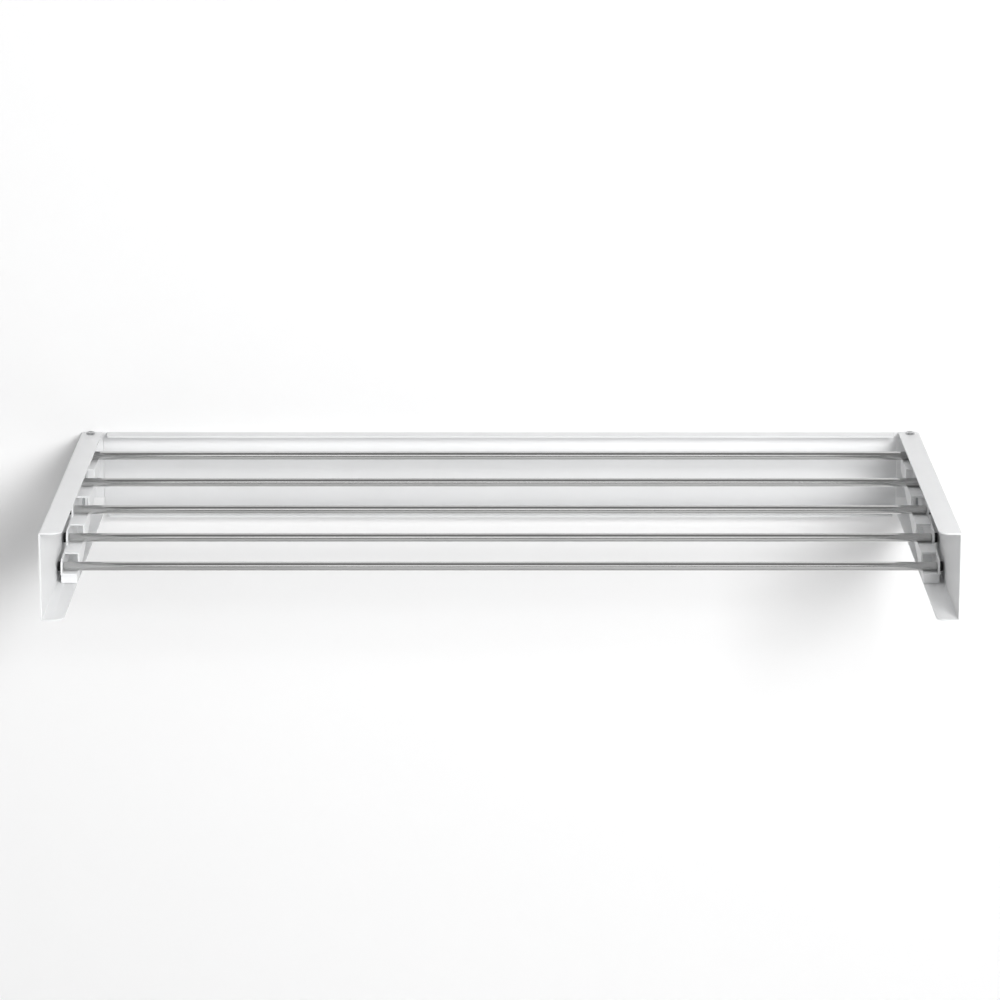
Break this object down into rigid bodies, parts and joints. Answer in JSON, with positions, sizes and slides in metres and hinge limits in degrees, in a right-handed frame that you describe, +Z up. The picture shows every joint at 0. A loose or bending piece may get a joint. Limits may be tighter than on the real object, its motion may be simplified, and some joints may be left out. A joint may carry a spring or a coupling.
{
  "type": "wall mounted fold-down drying rack",
  "caption": "Fold-down wall drying rack: stepped row of steel rods in arms between two white side cheeks hinged to a channel rail.",
  "frame": {"origin": "middle of the wall rail's back face, which lies on the wall", "axes": "+X to the right seen from the front, +Y into the wall, +Z up"},
  "size_m": [0.8, 0.4, 0.0813],
  "materials": {
    "white_paint": "satin white powder coat on folded steel sheet",
    "steel": "polished stainless steel bar with faint lengthwise drawing marks",
    "zinc": "bright zinc plating",
    "nylon": "grey moulded nylon",
    "black_plastic": "satin black moulded plastic"
  },
  "bodies": {
    "wall_frame": {"wall_rail": "white_paint", "hinge_bracket_left": "white_paint", "carrier_pin_left": "zinc", "carrier_pin_clip_left": "zinc", "cheek_pin_left": "zinc", "hinge_bracket_right": "white_paint", "carrier_pin_right": "zinc", "carrier_pin_clip_right": "zinc", "cheek_pin_right": "zinc"},
    "rod_carrier": {"rod_arm_left": "white_paint", "arm_bush_left": "nylon", "foot_catch_left": "nylon", "rod_arm_right": "white_paint", "arm_bush_right": "nylon", "foot_catch_right": "nylon", "rod_1": "steel", "rod_2": "steel", "rod_3": "steel", "rod_4": "steel", "rod_5": "steel", "rod_cap_left_1": "black_plastic", "rod_cap_left_2": "black_plastic", "rod_cap_left_3": "black_plastic", "rod_cap_left_4": "black_plastic", "rod_cap_left_5": "black_plastic", "rod_cap_right_1": "black_plastic", "rod_cap_right_2": "black_plastic", "rod_cap_right_3": "black_plastic", "rod_cap_right_4": "black_plastic", "rod_cap_right_5": "black_plastic"},
    "cheek_left": {"side_cheek_left": "white_paint", "cheek_bush_left": "nylon", "stop_block_left": "nylon", "block_screw_left": "zinc"},
    "cheek_right": {"side_cheek_right": "white_paint", "cheek_bush_right": "nylon", "stop_block_right": "nylon", "block_screw_right": "zinc"}
  },
  "joints": [
    {"name": "carrier_fold", "type": "hinge", "parent": "wall_frame", "child": "rod_carrier", "pos_m": [0, -0.014, 0.0245], "axis": [1, 0, 0], "range_deg": [0, 78]},
    {"name": "cheek_fold_left", "type": "hinge", "parent": "wall_frame", "child": "cheek_left", "pos_m": [-0.4, -0.014, -0.0265], "axis": [1, 0, 0], "range_deg": [0, 90]},
    {"name": "cheek_fold_right", "type": "hinge", "parent": "wall_frame", "child": "cheek_right", "pos_m": [0.4, -0.014, -0.0265], "axis": [1, 0, 0], "range_deg": [0, 90]}
  ],
  "couplings": [
    {"joint": "cheek_fold_left", "follows": "carrier_fold", "ratio": 1.1538},
    {"joint": "cheek_fold_right", "follows": "carrier_fold", "ratio": 1.1538}
  ]
}
